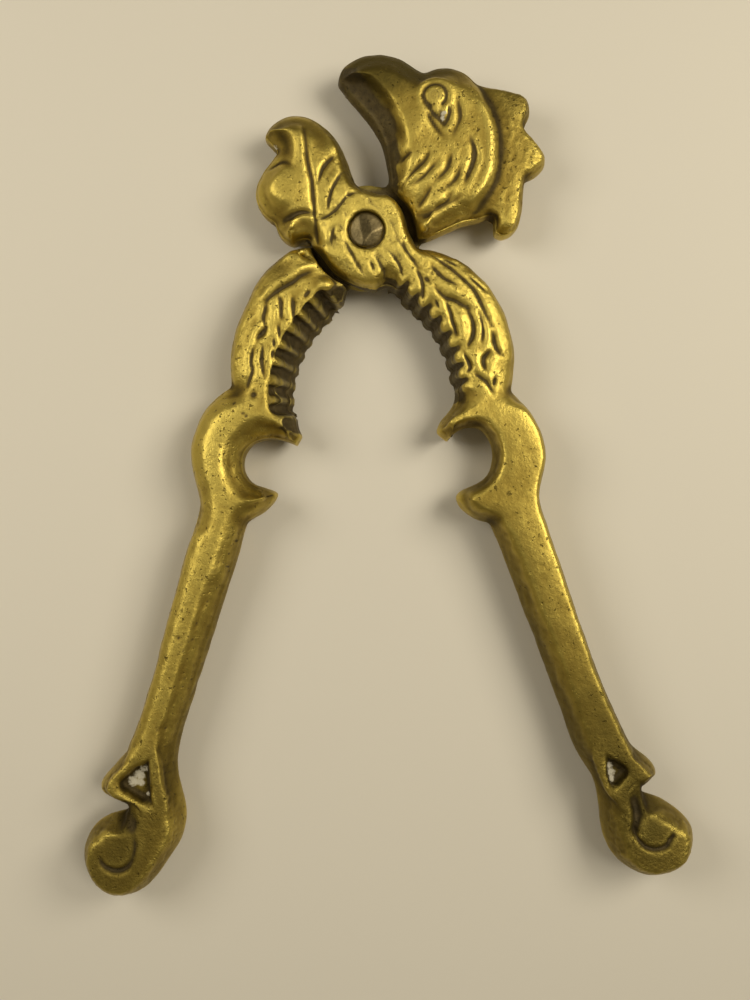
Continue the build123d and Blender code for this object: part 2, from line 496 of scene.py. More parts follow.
    def sunk_triangle(self, corners, depth):
        """A three-cornered recess with sloping sides, on both faces."""
        p = self.points[:, :2]
        inside = np.full(len(p), 1e9)
        middle = np.mean(corners, axis=0)
        for a, b in zip(corners, corners[1:] + corners[:1]):
            a, b = np.array(a), np.array(b)
            n = np.array([a[1] - b[1], b[0] - a[0]]) / np.hypot(*(b - a))
            n *= np.sign((middle - a) @ n)
            inside = np.minimum(inside, (p - a) @ n)
        share = smoothstep(-0.35, 0.75, inside)
        offset = self.points[:, 2] - PARTING
        limit = (FACE - PARTING) - depth * share
        held = np.minimum(np.abs(offset), np.where(share > 0, limit, 99))
        self.points[:, 2] = PARTING + np.sign(offset) * held
        self.patina_and_shade = np.maximum(self.patina_and_shade, 0.7 * smoothstep(0.1, 0.5, inside)
                               * (1 - smoothstep(0.5, 1.3, inside)) * self.outer)

    def residue(self, centre, radius):
        """Dried polish in a corner of the front face."""
        where = self.near([centre], radius * 2)
        where = where[self.sign[where] > 0]
        gap = np.hypot(self.points[where, 0] - centre[0], self.points[where, 1] - centre[1])
        self.polish[where] = np.maximum(self.polish[where],
                                        np.clip(1.05 - gap / radius, 0, 1))

    def finish(self):
        """Write the shape and the wear, patina and painted shade, and polish that the finish is
        painted from.
        """
        if not np.isfinite(self.points).all():
            raise RuntimeError(self.obj.name + " has lost points")
        mesh = self.obj.data
        depth = self.points[:, 2] - PARTING
        firm, give = 5.5, 0.5
        over = np.maximum(np.abs(depth) - firm, 0)
        self.points[:, 2] = PARTING + np.sign(depth) * (
            np.minimum(np.abs(depth), firm) + give * (1 - np.exp(-over / give)))
        self.refresh()
        soft = spread(self.points, self.edges, 6)
        fine = ((self.points - soft) * self.normals).sum(axis=1)
        broad = ((self.points - spread(soft, self.edges, 24)) * self.normals).sum(axis=1)
        wear = spread(np.clip(fine * 9 + broad * 1.6, -1, 1), self.edges, 3)
        rough = self.roughness(self.points[:, 0], self.points[:, 1])
        # How steep the wall is; the finish darkens walls by it as painted shade.
        side = spread(1 - smoothstep(0.0, 0.92, np.abs(self.normals[:, 2])), self.edges, 6)
        for name, values in (("wear", wear), ("patina_and_shade", np.clip(self.patina_and_shade, 0, 1)),
                             ("side", side), ("rough", np.clip(rough, 0, 1)),
                             ("dull", np.clip(self.dull, -1, 1)),
                             ("polish", np.clip(self.polish, 0, 1))):
            layer = mesh.attributes.new(name, "FLOAT", "POINT")
            layer.data.foreach_set("value", values.astype(np.float32))


def shaped_casting(node, name, grain, teeth, metal_side, tooth_lean, saw, pockets, leans,
                   roundness):
    """The node's casting with leaning walls and sloping teeth, ready to chase.

    pockets are the radii between which a wall stays upright, on each face. leans are
    stretches of the rim with a lean of their own. roundness says how round a wall is
    at a place in the plan.
    """
    sizes = bpy.context.scene.nutcracker_sizes
    obj = copy_of_node(node, name)
    rims = {1: Rim(obj.data, FACE, 1), -1: Rim(obj.data, UNDERSIDE, -1)}
    apply_modifier(obj, "REMESH", mode="VOXEL", voxel_size=grain, adaptivity=0)
    points = points_of(obj.data)
    gap = np.zeros(len(points))
    room = np.ones(len(points))
    for up, rim in rims.items():
        radius = np.hypot(*rim.at.T)
        face = np.full(len(rim.at), sizes.lean / MM)
        parting = np.zeros(len(rim.at))
        away, along, _, _ = distance_to_line(rim.at, curve(teeth))
        toothed = (away < 1.5) & (along > 0.05) & (along < 0.95)
        rim.half_width[toothed] = 4.5
        face[toothed] = 0.0
        for low, high in pockets[up]:
            face[(radius > low) & (radius < high)] = 0.25
        recess = distance_to_line(rim.at, RECESSES[node])[0]
        face[recess < 0.3] = 0.7
        rim.way = rim.general_way(toothed)
        for line, amount, *foot in leans:
            near_line = distance_to_line(rim.at, curve(line))[0] < 1.2
            face[near_line] = amount
            if foot and up > 0:
                parting[near_line] = foot[0]
        soft = rim.even_out(roundness(rim.at[:, 0], rim.at[:, 1]) * ~toothed, 1.0)
        half, near, index = lean_castings(points, rim, up, rim.even_out(face, 1.0),
                                          rim.even_out(parting, 0.8), soft)
        gap[half] = near
        room[half] = rim.half_width[index]
    in_gap = lean_teeth(points, curve(teeth), metal_side, tooth_lean / MM, saw)
    put_points(obj.data, points)
    chaser = Chaser(obj)
    to_teeth = distance_to_line(points[:, :2], curve(teeth))[0]
    chaser.crisp = 1 - smoothstep(4.8, 6.4, to_teeth)
    # Painted shade in the tooth gaps, darkest where the gaps are deepest.
    chaser.patina_and_shade = np.maximum(chaser.patina_and_shade, 1.1 * in_gap ** 1.5)
    chaser.edge_share = np.clip(1 - gap / np.maximum(room, 0.5), 0, 1)
    chaser.room = room
    return chaser


# ---- finishes

class Socket:
    """A material socket that can stand in sums."""

    def __init__(self, paint, socket):
        self.paint = paint
        self.socket = socket

    def sum(self, operation, first, second):
        return self.paint.add("ShaderNodeMath", {"operation": operation}, {0: first, 1: second})

    def __add__(self, other):
        return self.sum("ADD", self, other)

    __radd__ = __add__

    def __sub__(self, other):
        return self.sum("SUBTRACT", self, other)

    def __rsub__(self, other):
        return self.sum("SUBTRACT", other, self)

    def __mul__(self, other):
        return self.sum("MULTIPLY", self, other)


class Paint:
    """One node material, built up from its layers."""

    def __init__(self, name):
        self.material = bpy.data.materials.new(name)
        self.material.use_nodes = True
        self.tree = self.material.node_tree
        self.shader = next(n for n in self.tree.nodes if n.type == "BSDF_PRINCIPLED")
        self.place = self.add("ShaderNodeTexCoord", {}, {}, "Object")

    def add(self, kind, settings, inputs, output=0):
        """A node with its settings made first, then its sockets' values or links."""
        node = self.tree.nodes.new(kind)
        for name, value in settings.items():
            setattr(node, name, value)
        for name, value in inputs.items():
            self.give(node.inputs[name], value)
        return Socket(self, node.outputs[output])

    def give(self, socket, value):
        if isinstance(value, Socket):
            self.tree.links.new(value.socket, socket)
        else:
            socket.default_value = value

    def noise(self, size, detail=4.0, rough=0.55, lift=0.0):
        """Noise whose features are about size metres wide, from 0 to 1."""
        return self.add("ShaderNodeTexNoise", {"noise_dimensions": "4D"},
                        {"Vector": self.place, "W": lift, "Scale": 1 / size,
                         "Detail": detail, "Roughness": rough})

    def limit(self, value, low, high, to_low=0.0, to_high=1.0):
        """The value between low and high, rescaled smoothly."""
        return self.add("ShaderNodeMapRange", {"interpolation_type": "SMOOTHSTEP"},
                        {"Value": value, "From Min": low, "From Max": high,
                         "To Min": to_low, "To Max": to_high})

    def mix(self, share, first, second):
        """Two colours mixed."""
        a = first if isinstance(first, Socket) else (*first, 1)
        b = second if isinstance(second, Socket) else (*second, 1)
        return self.add("ShaderNodeMix", {"data_type": "RGBA"},
                        {0: share, 6: a, 7: b}, 2)

    def read(self, name):
        return self.add("ShaderNodeAttribute", {"attribute_name": name}, {}, "Fac")

    def bump(self, height, distance, strength=1.0):
        return self.add("ShaderNodeBump", {},
                        {"Height": height, "Distance": distance, "Strength": strength})

    def finish(self, **sockets):
        for name, value in sockets.items():
            self.give(self.shader.inputs[name.replace("_", " ")], value)
        return self.material


def old_brass(name, pitted, dull):
    """Cast brass, rubbed gold where it is handled and olive brown where it is not, with painted
    shade on its walls, gaps, hollows and shaded places, and painted highlight on a few lit places.
    """
    colours = bpy.context.scene.nutcracker_colours
    paint = Paint(name)
    wear = paint.read("wear")
    patina_and_shade = paint.read("patina_and_shade")
    side = paint.read("side")
    polish = paint.read("polish")
    coarse = paint.read("rough")
    dull_shade_and_highlight = paint.read("dull")
    cloud = paint.noise(9 * MM, 5, 0.6, 1.0)
    grain = paint.noise(1.3 * MM, 6, 0.65, 2.0)
    fine = paint.noise(0.35 * MM, 3, 0.6, 3.0)
    pits = paint.limit(paint.noise(0.8 * MM, 2, 0.5, 4.0), 0.66 - 0.05 * pitted, 0.74)
    # Rubbed wear, with painted shade and painted highlight from the patches.
    rubbed_and_lit = paint.limit(wear + (cloud - 0.5) * 0.9 + (grain - 0.5) * 0.9
                         - dull_shade_and_highlight * 0.5 - dull, -0.62, 0.62)
    # Patina in cuts and pits, and painted shade on steep walls and in gaps and hollows.
    tarnish_and_shade = paint.limit(patina_and_shade * 1.15 + side * 0.38 - wear * 0.7 + (grain - 0.5) * 0.8
                          + (cloud - 0.5) * 0.5, 0.10, 1.0)
    colour = paint.mix(rubbed_and_lit, colours.bronze, colours.gold)
    # Dull patches turn olive, the painted shade patches among them.
    colour = paint.mix(paint.limit(dull_shade_and_highlight + (cloud - 0.5) * 0.5 - wear * 0.25, 0.0, 1.1),
                       colour, colours.olive)
    crust = paint.mix(paint.limit(grain, 0.35, 0.65), colours.patina,
                      tuple(2.0 * c for c in colours.patina))
    colour = paint.mix(tarnish_and_shade * 0.92, colour, crust)
    specks = paint.limit(paint.noise(0.42 * MM, 1, 0.5, 8.0), 0.71 - 0.05 * pitted, 0.78)
    colour = paint.mix(pits * (0.35 + 0.35 * pitted), colour, colours.patina)
    colour = paint.mix(specks * (0.25 + 0.35 * pitted), colour, colours.patina)
    chalk = paint.limit(polish + (grain - 0.5) * 1.5 + (fine - 0.5) * 0.8, 0.38, 0.78)
    colour = paint.mix(chalk, colour, colours.polish)
    rough = paint.limit(rubbed_and_lit - tarnish_and_shade * 0.6 + (fine - 0.5) * 0.3, -0.5, 1.0, 0.68, 0.42)
    height = (cloud * 0.4 + (grain * 0.8 + fine * 0.35) * (0.3 + coarse * 0.7)
              - pits * 0.4 - specks * 0.3)
    return paint.finish(Base_Color=colour, Roughness=rough,
                        Metallic=(1 - chalk) * (1 - patina_and_shade * 0.45),
                        Normal=paint.bump(height, 0.36 * MM, 0.8), IOR=1.5)


def dark_steel(name):
    """Rivet metal, dark and hammered."""
    colours = bpy.context.scene.nutcracker_colours
    paint = Paint(name)
    cloud = paint.noise(2.5 * MM, 4, 0.6, 5.0)
    fine = paint.noise(0.4 * MM, 4, 0.6, 6.0)
    colour = paint.mix(paint.limit(cloud, 0.35, 0.7), colours.steel,
                       tuple(1.8 * c for c in colours.steel))
    rough = paint.limit(fine, 0.2, 0.8, 0.3, 0.5)
    return paint.finish(Base_Color=colour, Roughness=rough, Metallic=1.0,
                        Normal=paint.bump(cloud + fine * 0.4, 0.2 * MM, 0.5))


def put_out(obj, node, body, material):
    """Finish one piece: its material, its shading, what it stands for and what it rides on."""
    obj.data.materials.clear()
    obj.data.materials.append(material)
    select_only(obj)
    bpy.ops.object.shade_smooth()
    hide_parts(node)
    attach(obj, body)


# ---- operators

class NUTCRACKER_OT_front_lever(Operator):
    """Make the lever with the lower beak, the upper boss and the right jaw and handle"""
    bl_idname = "nutcracker.front_lever"
    bl_label = "Front lever"

    def execute(self, context):
        sizes = context.scene.nutcracker_sizes
        lean = sizes.front_tooth_lean
        work = shaped_casting(
            "front_lever", "front_lever_casting", sizes.front_grain, FRONT_TEETH, -1, lean, 0.7,
            {1: [(0, 3.6)], -1: [(9.5, 10.9)]},
            [([(-9.0, -2.2), (-8.0, -3.2), (-5.8, -6.0), (-2.6, -8.2), (1.0, -9.2)], 0.3, -1.1),
             ([(4.3, 6.5), (6.5, 3.5), (7.8, -0.6)], 0.9, -0.6),
             ([(43.7, -110.6), (42.2, -106.0), (41.1, -98.7), (38.4, -94.2)], 3.2),
             ([(49.1, -100.6), (52.4, -101.4), (56.3, -103.7)], 3.0),
             ([(16.5, -4.4), (20.8, -7.8), (23.9, -12.0), (26.7, -21.7)], 1.3),
             ([(23.6, -55.6), (25.7, -60.6), (28.9, -69.1), (32.7, -79.3), (35.9, -88.0),
               (38.0, -93.4)], 2.8),
             ([(28.7, -30.7), (31.3, -34.7), (32.5, -40.0), (31.9, -43.7), (31.3, -46.9),
               (32.5, -51.8), (35.8, -61.3), (39.2, -71.5), (42.8, -81.2), (47.5, -91.3)], 1.1),
             ([(16.1, -47.3), (19.2, -45.2), (21.5, -43.7), (22.8, -40.0), (22.0, -36.7),
               (20.2, -34.9), (16.9, -35.2)], 1.5)],
            lambda x, y: np.clip(smoothstep(-4.0, -9.0, x) * smoothstep(-4, -1, y)
                                 + 0.5 * smoothstep(-2, -6, y) * smoothstep(-30, -26, y), 0, 1))
        self.round_over(work)
        work.refresh(smooth=8)
        work.roughness = lambda x, y: (0.25 + 0.5 * smoothstep(-9, -5, x) * smoothstep(-12, -9, y)
                                       + 0.25 * smoothstep(-3, -7, y) * smoothstep(-30, -26, y)
                                       + 0.75 * smoothstep(-86, -96, y))
        # Painted shade on the toothed wall of the right jaw.
        work.paint_shade_band(FRONT_TEETH, 1.4, 0.8)
        # Dull patches and painted shade, such as the shaded left wall of the right handle, and a
        # lighter boss.
        work.paint_dull_shade_and_highlight(((-14.5, 18.5), (6, 3), -10, 0.6),
                   ((-17.5, 1.0), (5, 3), 0, 0.5),
                   ((50, -108), (9, 12), 0, 0.75),
                   ((42, -92), (6, 13), 20, 0.6),
                   ((0, 0), (8, 8), 0, -1.2),
                   ((28, -42), (7, 9), 0, 0.25),
                   ((36, -72), (5, 30), 26, 0.45),
                   ((28.8, -73), (2.6, 26), 21, 1.0))
        self.leaf(work)
        self.boss(work)
        self.jaw(work)
        self.scroll(work)
        work.refresh()
        work.lumps(0.05, 7.0, 11)
        work.lumps(0.03, 2.6, 12)
        work.hammer(0.022, 1.0, 13)
        work.finish()
        put_out(work.obj, "front_lever", "front", old_brass("front_brass", 0.4, 0.0))
        return {"FINISHED"}

    def round_over(self, work):
        x, y = work.points[:, 0], work.points[:, 1]
        leaf = smoothstep(-4.0, -9.0, x) * smoothstep(-4, -1, y)
        jaw = smoothstep(-3, -7, y) * smoothstep(-33, -28, y)
        amount = 0.35 + 1.5 * leaf + 0.55 * jaw
        amount = amount * np.minimum(work.room / 3.5, 1)
        work.thin(amount * work.edge_share ** 2 + 0.45 * jaw + 0.55 * leaf)
        work.tuck([(13.2, -36.4, 0.85, 0.5), (16.1, -47.3, 0.95, -0.2), (52.6, -97.5, -0.85, 0.5)],
                  1.3, 1.7, 1.9)
        work.tuck([(-18.5, 17.4, 0.6, 0.5), (4.3, -9.6, 0, 0.3), (15.6, -29.2, 0.3, 0)],
                  1.2, 1.0, 1.8)

    def leaf(self, work):
        work.lobe((-14.5, 8.0), (4.6, 4.0), 20, 1.1)
        work.lobe((-12.0, 0.3), (3.4, 2.0), 10, 0.6)
        work.lobe((-12.2, 14.8), (2.2, 5.0), 10, 0.5)
        work.lobe((-5.6, 15.8), (2.0, 3.4), -30, 0.5)
        work.refresh()
        work.groove([(-11, 18.1), (-10.7, 15.6), (-10.5, 12.9), (-10, 10.3), (-9.6, 8.5),
                     (-9.2, 2.2), (-8.9, -2)], 0.55, 0.42, 0.7)
        work.ridge([(-11.9, 18.0), (-11.6, 14.5), (-11.3, 11.0)], 0.25, 0.5)
        work.groove([(-5.5, 13.3), (-6.8, 12.1), (-7.8, 10.7), (-8.5, 8.5)], 0.45, 0.4)
        work.groove([(-3.8, 10.7), (-5, 9.1), (-6.1, 7.1), (-6.6, 5.4), (-6.8, 3.3)], 0.45, 0.4)
        work.groove([(-1.5, 6.8), (-3.3, 5.9), (-4.7, 4.3), (-6.1, 2.9), (-7.3, 2.2),
                     (-8.9, 1.7)], 0.45, 0.4)
        work.groove([(-14.9, 2), (-11.4, 3.1), (-9.6, 2.9)], 0.7, 0.5)
        work.groove([(-17.6, 11.4), (-15.2, 12.4), (-13.0, 11.2)], 0.3, 0.45, 0.5)
        work.residue((-16.6, 15.3), 1.1)

    def boss(self, work):
        rng = np.random.default_rng(5)
        for _ in range(26):
            turn = rng.uniform(0, 2 * np.pi)
            far = rng.uniform(4.2, 7.6)
            at = np.array([far * np.cos(turn), far * np.sin(turn)])
            way = np.array([np.cos(0.9), -np.sin(0.9)]) + rng.normal(0, 0.25, 2)
            size = rng.uniform(0.7, 1.8)
            work.groove([at - way * size, at + way * size], rng.uniform(0.08, 0.24),
                        rng.uniform(0.22, 0.36), 0.5, slope=2.4)
        for line in ([(1.2, -4.2), (2.6, -6.4), (3.4, -8.2)],
                     [(3.6, -3.4), (5.6, -6.0), (6.6, -8.6)],
                     [(5.0, -1.2), (7.4, -4.2), (9.0, -6.6)],
                     [(-3.9, -1.8), (-2.6, -4.4), (-1.6, -6.4)],
                     [(-5.6, 0.6), (-6.4, -1.6), (-5.8, -3.6)], [(0.6, -5.4), (1.4, -7.4)]):
            work.groove(line, 0.36, 0.34, 0.8, slope=2.6)
        for _ in range(10):
            turn = rng.uniform(0, 2 * np.pi)
            far = rng.uniform(4.2, 7.4)
            work.lobe((far * np.cos(turn), far * np.sin(turn)),
                      (rng.uniform(0.5, 1.2), rng.uniform(0.5, 1.0)), rng.uniform(0, 180),
                      rng.uniform(-0.2, 0.15))

    def jaw(self, work):
        strokes = [
            ([(8.9, -7.1), (9.8, -9.4), (9.8, -12.6)], 0.5, 0.4),
            ([(10.3, -8.4), (11, -9.2)], 0.4, 0.35),
            ([(12.2, -10.5), (13.8, -11.9), (15.6, -12.6), (16.8, -13.3), (18.4, -14)], 0.6, 0.4),
            ([(14, -12.4), (14.7, -14.4), (15.1, -16.1), (15.9, -18.6)], 0.55, 0.4),
            ([(17.7, -14), (18.6, -15.8), (18.9, -17), (18.8, -18.8), (17.9, -20.5)], 0.7, 0.45),
            ([(17.2, -21.8), (18.2, -24.2), (17.7, -25.1)], 0.6, 0.4),
            ([(19.3, -25.6), (21.1, -26.9), (22.3, -28.6)], 0.6, 0.4),
            ([(21.8, -21.4), (20.7, -22.8), (20.9, -24.6)], 0.75, 0.45),
            ([(22.3, -18.2), (22.8, -20.5), (23.7, -22.1)], 0.6, 0.4),
            ([(22.8, -26.2), (22.5, -27.6)], 0.5, 0.4),
            ([(10.8, -3.8), (13.8, -5.9), (16.5, -8.2), (19.1, -10.8), (21.2, -15.2),
              (22.1, -17)], 0.45, 0.4),
            ([(13.8, -5), (16.1, -6.3)], 0.35, 0.35),
            ([(18.2, -8.2), (21.2, -10.8)], 0.35, 0.35),
            ([(11.6, -6.4), (13.4, -8.4), (15.9, -9.8)], 0.4, 0.4),
            ([(19.9, -14.6), (20.6, -17.4), (20.4, -19.6)], 0.45, 0.4),
            ([(12.2, -12.3), (12.9, -13.9)], 0.35, 0.35),
        ]
        work.jaw_cuts(strokes)
        for line in ([(11.2, -10.2), (13.0, -13.0), (13.9, -16.2)],
                     [(16.4, -14.4), (17.0, -17.0), (17.0, -19.4)],
                     [(20.4, -15.6), (21.6, -18.6), (21.2, -20.6)],
                     [(19.2, -21.6), (19.4, -24.2)],
                     [(13.4, -9.4), (16.6, -11.2), (18.6, -12.2)]):
            work.ridge(line, 0.28, 0.6)

    def scroll(self, work):
        work.groove([(47.6, -101.0), (48.0, -103.2), (47.5, -106.3)], 1.2, 0.95, taper=False)
        work.groove([(47.5, -105.6), (47.6, -106.8), (48.3, -108.1), (49.6, -109.2),
                     (51.4, -109.5), (53.1, -108.9), (54, -107.4)], 0.9, 0.5)
        work.groove([(52.9, -108.6), (54, -107.4), (54.4, -106.6)], 0.4, 0.4)
        work.ridge([(49.3, -104.3), (50.8, -103.6), (53.3, -103.3), (55.2, -104.0)], 0.2, 0.5)
        work.sunk_triangle([(42.2, -92.6), (46.6, -95.8), (43.2, -99.3)], 1.8)
        for x, y, radius in ((43.3, -95.0, 1.2), (43.5, -96.2, 1.3), (43.6, -97.3, 1.1)):
            work.residue((x, y), radius)


class NUTCRACKER_OT_rear_lever(Operator):
    """Make the lever with the head and comb, the lower boss and the left jaw and handle"""
    bl_idname = "nutcracker.rear_lever"
    bl_label = "Rear lever"

    def execute(self, context):
        sizes = context.scene.nutcracker_sizes
        lean = sizes.rear_tooth_lean
        work = shaped_casting(
            "rear_lever", "rear_lever_casting", sizes.rear_grain, REAR_TEETH, 1, lean, 2.3,
            {1: [(9.6, 10.8), (8.75, 9.05)], -1: [(0, 5.0)]},
            [([(-4.5, 26.2), (-2.7, 23.7), (0.5, 19.9), (1.6, 18.4)], 4.4),
             ([(1.6, 18.4), (2.4, 16.6), (3.2, 14.0)], 3.4),
             ([(3.2, 14.0), (3.7, 12.0), (4.05, 7.9)], 1.9),
             ([(-32.6, -104.2), (-34.2, -96.4), (-32.3, -86.4), (-28.7, -74.9),
               (-25.1, -63.8)], 3.0),
             ([(-42.4, -103.9), (-45.8, -104.4), (-49.0, -106.3)], 3.0),
             ([(-13.6, -2.6), (-16.1, -4.4), (-19.4, -7.9), (-21.8, -12.5), (-24.0, -18.3),
               (-24.6, -23.5), (-27.2, -29.4), (-30.3, -33.6), (-31.8, -39.5), (-31.1, -44.0),
               (-30.2, -47.5)], 1.5),
             ([(-31.6, -54.0), (-34.1, -62.4), (-36.9, -73.0), (-40.0, -84.0),
               (-43.4, -93.3)], 1.2),
             ([(19.9, 27.2), (28.0, 25.3), (29.3, 23.8), (28.3, 19.4), (31.2, 16.1),
               (32.4, 13.0), (31.4, 11.5), (28.6, 10.1), (28.2, 4.8), (27.3, 1.4),
               (24.4, -0.6)], 1.0),
             ([(22.9, 0.2), (23.0, 3.7), (20.6, 2.8)], 1.0),
             ([(18.2, 2.1), (14.7, 0.7), (12.0, -0.6), (10.3, -1.2)], 1.7)],
            self.roundness)
        self.round_over(work)
        work.crisp = np.maximum(work.crisp, 0.5 * smoothstep(5, 1, work.points[:, 1]))
        work.refresh(smooth=16)
        work.roughness = lambda x, y: (0.3 + 0.6 * smoothstep(21, 23, x) * smoothstep(-3, 0, y)
                                       + 0.3 * smoothstep(12, 8, y) * smoothstep(-1, 1, y)
                                       + 0.25 * smoothstep(-3, -7, y) * smoothstep(-30, -26, y)
                                       + 0.5 * smoothstep(-86, -96, y))
        # Painted shade on the sloping toothed wall of the left jaw.
        work.paint_shade_band(REAR_TEETH, 3.5, 0.85)
        # Dull patches and painted shade, such as the brow turned from the light, the scroll
        # undersides and the shaded right wall of the left handle, and a painted highlight on the
        # left ring.
        work.paint_dull_shade_and_highlight(((1.5, 29.0), (8, 6), 0, 1.2),
                   ((12, 30.0), (8, 3.5), 0, 0.9),
                   ((26, 24), (7, 4), -20, 0.5),
                   ((-17, -5), (5, 6), 45, 0.5),
                   ((-45, -112), (10, 11), 0, 0.7),
                   ((-38, -96), (6, 12), -20, 0.4),
                   ((-28, -38), (6, 10), 0, -0.7),
                   ((-27.5, -75), (3, 26), -16, 0.7),
                   ((27, 13), (5, 12), 0, 0.3))
        # Painted shade on the sloping mouth wall, widest by the beak's tip.
        work.paint_shade_band([(-4.5, 26.2), (-2.7, 23.7), (0.5, 19.9), (1.6, 18.4)], 3.9, 1.1)
        work.paint_shade_band([(1.6, 18.4), (2.4, 16.6), (3.2, 14.0)], 3.0, 1.1)
        work.paint_shade_band([(3.2, 14.0), (3.7, 12.0), (4.05, 7.9)], 1.7, 1.0)
        self.head(work)
        self.jaw(work)
        self.scroll(work)
        self.wear_pits(work)
        work.refresh()
        work.lumps(0.05, 7.0, 21)
        work.lumps(0.03, 2.6, 22)
        work.hammer(0.022, 1.0, 23)
        work.finish()
        put_out(work.obj, "rear_lever", "rear", old_brass("rear_brass", 1.0, 0.08))
        return {"FINISHED"}

    def roundness(self, x, y):
        mouth = smoothstep(7.5, 5.5, x) * smoothstep(6, 8, y) * smoothstep(27.5, 25.5, y + 0.5 * x)
        head = smoothstep(3, 7, y) * (1 - mouth) * smoothstep(22, 17, x)
        ring = smoothstep(-24, -28, y) * smoothstep(-50, -46, y)
        handle = smoothstep(-46, -50, y) * smoothstep(-98, -90, y)
        return np.clip(head + 0.8 * ring + 0.5 * handle
                       + 0.6 * smoothstep(-3, -7, y) * smoothstep(-30, -26, y), 0, 1)

    def round_over(self, work):
        x, y = work.points[:, 0], work.points[:, 1]
        head = smoothstep(-3, 1, y) * smoothstep(24, 18, x)
        comb = smoothstep(-3, 1, y) * smoothstep(18, 24, x)
        jaw = smoothstep(-3, -7, y) * smoothstep(-33, -28, y)
        ring = smoothstep(-26, -30, y) * smoothstep(-50, -46, y)
        handle = smoothstep(-46, -50, y) * smoothstep(-104, -98, y)
        amount = 0.3 + 2.0 * head + 0.15 * comb + 0.7 * jaw + 1.5 * ring + 0.9 * handle
        amount = amount * np.minimum(work.room / 3.5, 1)
        work.thin(amount * work.edge_share ** 2 + 0.45 * jaw + 0.25 * head)
        work.tuck([(-12.0, -37.2, -0.85, 0.5), (-15.9, -46.6, -0.95, -0.25),
                   (-48.2, -100.2, 0.85, 0.3)], 1.3, 1.7, 1.9)
        work.tuck([(-5.5, 27.3, 0.5, 0.2), (8.85, -0.9, 0.4, 0.5), (4.05, 7.9, 0.4, 0.2),
                   (24.0, -0.2, 0.1, 0.6)], 1.4, 1.0, 1.7)
        work.tuck([(-9.6, -2.6, -0.5, -0.6), (-4.4, -11.6, -0.4, 0.5)], 1.5, 1.0, 1.9)
        work.step([(16.6, 1.1), (17.9, 2.4), (20, 5), (21.8, 7.7), (22.8, 10.3), (23.2, 13.8),
                   (23, 17.4), (22.1, 20.9), (20.2, 24.8), (18.4, 28.5)], 1.9, 0.55, 16)

    def head(self, work):
        work.groove([(18.4, 16.5), (19.1, 14.2), (18.9, 12.1), (17.5, 8.5)], 0.55, 0.55)
        work.ridge([(19.6, 24.4), (21.4, 19.1), (21.8, 13.8), (20.9, 9.0), (18.6, 5.2)], 0.35, 0.5)
        work.ridge([(17.5, 17.9), (19.6, 14.7), (20, 12.1), (18.9, 9.4), (18.2, 7.7)], 0.3, 0.5)
        work.lobe((8.7, 18.7), (2.2, 3.4), -30, 0.7)
        work.lobe((12.0, 24.2), (3.4, 3.4), 0, 0.6)
        work.refresh()
        eye = np.array([12.1, 23.7])
        turn = np.radians(np.arange(-50, 251, 20))
        circle = np.column_stack([np.cos(turn), np.sin(turn)])
        work.ridge(eye + 2.9 * circle, 0.3, 0.5, taper=False)
        work.groove(eye + 2.05 * circle, 0.6, 0.42, patina_and_shade=0.8, taper=False)
        work.lobe(eye, (1.9, 1.9), 0, 0.5)
        work.refresh()
        work.groove(eye + 0.85 * circle, 0.28, 0.28, patina_and_shade=0.6, taper=False)
        work.pits([eye + (0.05, 0.1)], 0.3, 0.3)
        work.groove([(11.0, 21.8), (11.9, 20.5), (12.9, 19.5), (13.6, 18.4)], 0.5, 0.4)
        work.groove([(14.4, 22.4), (14.7, 20.8), (14.3, 19.4), (13.7, 18.3)], 0.4, 0.4)
        work.groove([(12.6, 21.2), (13.4, 20.2), (13.6, 19.2)], 0.35, 0.5, patina_and_shade=0.7)
        for line, depth in (
                ([(10, 21.8), (12.2, 18.2), (13.5, 16.5)], 0.45),
                ([(5.9, 12.4), (8, 13.8)], 0.4),
                ([(5.9, 7.7), (8, 10), (10.3, 12.1), (11.2, 13.8)], 0.55),
                ([(8.9, 4), (10.3, 5.7), (11.5, 7.5)], 0.4),
                ([(10.1, 2.9), (13.8, 4.5), (15.1, 6.4)], 0.45),
                ([(8.7, 2.9), (11.2, 2.9), (13.8, 4.1), (16.5, 5.7)], 0.4),
                ([(9.4, 2), (12.9, 2.9)], 0.35),
                ([(8.2, 8.0), (10.2, 9.4), (12.3, 11.8)], 0.35),
                ([(12.3, 8.6), (14.2, 10.6), (15.2, 13.4)], 0.35),
                ([(13.8, 7.0), (16.0, 9.2), (16.8, 11.4)], 0.3),
                ([(15.4, 16.8), (16.6, 19.8), (16.2, 23.0)], 0.3)):
            work.groove(line, depth, 0.36, patina_and_shade=0.6, slope=2.2)
        work.ridge([(9.1, 1.1), (11.2, 1), (13.3, 1.1), (15.6, 2.4), (17.4, 3.8)], 0.25, 0.5)
        work.residue((13.7, 20.5), 0.75)
        work.residue((13.5, 19.6), 0.7)

